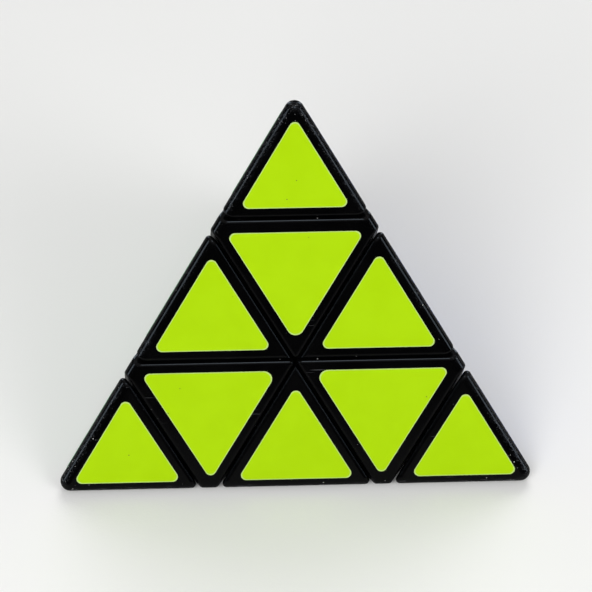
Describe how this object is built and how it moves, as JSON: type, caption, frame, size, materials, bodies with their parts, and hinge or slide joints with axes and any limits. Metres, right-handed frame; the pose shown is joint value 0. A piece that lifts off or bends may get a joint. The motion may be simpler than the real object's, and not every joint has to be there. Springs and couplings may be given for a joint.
{
  "type": "pyramid twisty puzzle",
  "caption": "Tetrahedral twisty puzzle in black plastic with coloured triangular stickers; its corner layers and tips turn on a sprung core.",
  "frame": {"origin": "centre of the core, where the four turning axes cross", "axes": "+Z towards the apex; -Y towards the front face, whose stickers are yellow-green; +X to the right of it"},
  "size_m": [0.095, 0.0828, 0.0784],
  "materials": {
    "shell_plastic": "polished black ABS",
    "inner_plastic": "as-moulded black ABS",
    "core_plastic": "as-moulded black nylon",
    "zinc_plated_steel": "zinc plated",
    "spring_steel": "drawn wire",
    "sticker_yellow_green": "fluorescent vinyl, satin",
    "sticker_blue": "vinyl, satin",
    "sticker_green": "vinyl, satin",
    "sticker_red": "vinyl, satin"
  },
  "bodies": {
    "core": {"core_spider": "core_plastic", "axis_screws": "zinc_plated_steel", "tension_springs": "spring_steel", "spring_washers": "zinc_plated_steel"},
    "apex_axial": {"axial_shell_apex": "shell_plastic", "axial_foot_apex": "inner_plastic", "axial_stickers_apex": "sticker_yellow_green"},
    "left_axial": {"axial_shell_left": "shell_plastic", "axial_foot_left": "inner_plastic", "axial_stickers_left": "sticker_yellow_green"},
    "right_axial": {"axial_shell_right": "shell_plastic", "axial_foot_right": "inner_plastic", "axial_stickers_right": "sticker_yellow_green"},
    "back_axial": {"axial_shell_back": "shell_plastic", "axial_foot_back": "inner_plastic", "axial_stickers_back": "sticker_red"},
    "apex_tip": {"tip_cap_apex": "shell_plastic", "tip_base_apex": "inner_plastic", "tip_stickers_apex": "sticker_yellow_green"},
    "left_tip": {"tip_cap_left": "shell_plastic", "tip_base_left": "inner_plastic", "tip_stickers_left": "sticker_yellow_green"},
    "right_tip": {"tip_cap_right": "shell_plastic", "tip_base_right": "inner_plastic", "tip_stickers_right": "sticker_yellow_green"},
    "back_tip": {"tip_cap_back": "shell_plastic", "tip_base_back": "inner_plastic", "tip_stickers_back": "sticker_red"},
    "apex_left_edge": {"edge_shell_apex_left": "shell_plastic", "edge_foot_apex_left": "inner_plastic", "edge_stickers_apex_left": "sticker_yellow_green"},
    "apex_right_edge": {"edge_shell_apex_right": "shell_plastic", "edge_foot_apex_right": "inner_plastic", "edge_stickers_apex_right": "sticker_yellow_green"},
    "apex_back_edge": {"edge_shell_apex_back": "shell_plastic", "edge_foot_apex_back": "inner_plastic", "edge_stickers_apex_back": "sticker_blue"},
    "left_right_edge": {"edge_shell_left_right": "shell_plastic", "edge_foot_left_right": "inner_plastic", "edge_stickers_left_right": "sticker_yellow_green"},
    "right_back_edge": {"edge_shell_right_back": "shell_plastic", "edge_foot_right_back": "inner_plastic", "edge_stickers_right_back": "sticker_blue"},
    "back_left_edge": {"edge_shell_back_left": "shell_plastic", "edge_foot_back_left": "inner_plastic", "edge_stickers_back_left": "sticker_green"}
  },
  "joints": [
    {"name": "apex_layer_turn", "type": "hinge", "parent": "core", "child": "apex_axial", "pos_m": [0, 0, 0], "axis": [0, 0, 1], "range_deg": [-240, 120]},
    {"name": "left_layer_turn", "type": "hinge", "parent": "core", "child": "left_axial", "pos_m": [0, 0, 0], "axis": [-0.8165, -0.4714, -0.3333], "range_deg": [-240, 120]},
    {"name": "right_layer_turn", "type": "hinge", "parent": "core", "child": "right_axial", "pos_m": [0, 0, 0], "axis": [0.8165, -0.4714, -0.3333], "range_deg": [-240, 120]},
    {"name": "back_layer_turn", "type": "hinge", "parent": "core", "child": "back_axial", "pos_m": [0, 0, 0], "axis": [0, 0.9428, -0.3333], "range_deg": [-240, 120]},
    {"name": "apex_tip_turn", "type": "hinge", "parent": "apex_axial", "child": "apex_tip", "pos_m": [0, 0, 0], "axis": [0, 0, 1], "continuous": true},
    {"name": "left_tip_turn", "type": "hinge", "parent": "left_axial", "child": "left_tip", "pos_m": [0, 0, 0], "axis": [-0.8165, -0.4714, -0.3333], "continuous": true},
    {"name": "right_tip_turn", "type": "hinge", "parent": "right_axial", "child": "right_tip", "pos_m": [0, 0, 0], "axis": [0.8165, -0.4714, -0.3333], "continuous": true},
    {"name": "back_tip_turn", "type": "hinge", "parent": "back_axial", "child": "back_tip", "pos_m": [0, 0, 0], "axis": [0, 0.9428, -0.3333], "continuous": true},
    {"name": "apex_left_edge_turn", "type": "hinge", "parent": "apex_axial", "child": "apex_left_edge", "pos_m": [0, 0, 0], "axis": [-0.8165, -0.4714, -0.3333], "range_deg": [-240, 120]},
    {"name": "apex_right_edge_turn", "type": "hinge", "parent": "apex_axial", "child": "apex_right_edge", "pos_m": [0, 0, 0], "axis": [0.8165, -0.4714, -0.3333], "range_deg": [-240, 120]},
    {"name": "apex_back_edge_turn", "type": "hinge", "parent": "apex_axial", "child": "apex_back_edge", "pos_m": [0, 0, 0], "axis": [0, 0.9428, -0.3333], "range_deg": [-240, 120]},
    {"name": "left_right_edge_turn", "type": "hinge", "parent": "left_axial", "child": "left_right_edge", "pos_m": [0, 0, 0], "axis": [0.8165, -0.4714, -0.3333], "range_deg": [-240, 120]},
    {"name": "right_back_edge_turn", "type": "hinge", "parent": "right_axial", "child": "right_back_edge", "pos_m": [0, 0, 0], "axis": [0, 0.9428, -0.3333], "range_deg": [-240, 120]},
    {"name": "back_left_edge_turn", "type": "hinge", "parent": "back_axial", "child": "back_left_edge", "pos_m": [0, 0, 0], "axis": [-0.8165, -0.4714, -0.3333], "range_deg": [-240, 120]}
  ],
  "couplings": [
    {"joint": "apex_left_edge_turn", "follows": "left_layer_turn", "ratio": 1},
    {"joint": "apex_right_edge_turn", "follows": "right_layer_turn", "ratio": 1},
    {"joint": "apex_back_edge_turn", "follows": "back_layer_turn", "ratio": 1},
    {"joint": "left_right_edge_turn", "follows": "right_layer_turn", "ratio": 1},
    {"joint": "right_back_edge_turn", "follows": "back_layer_turn", "ratio": 1},
    {"joint": "back_left_edge_turn", "follows": "left_layer_turn", "ratio": 1}
  ]
}
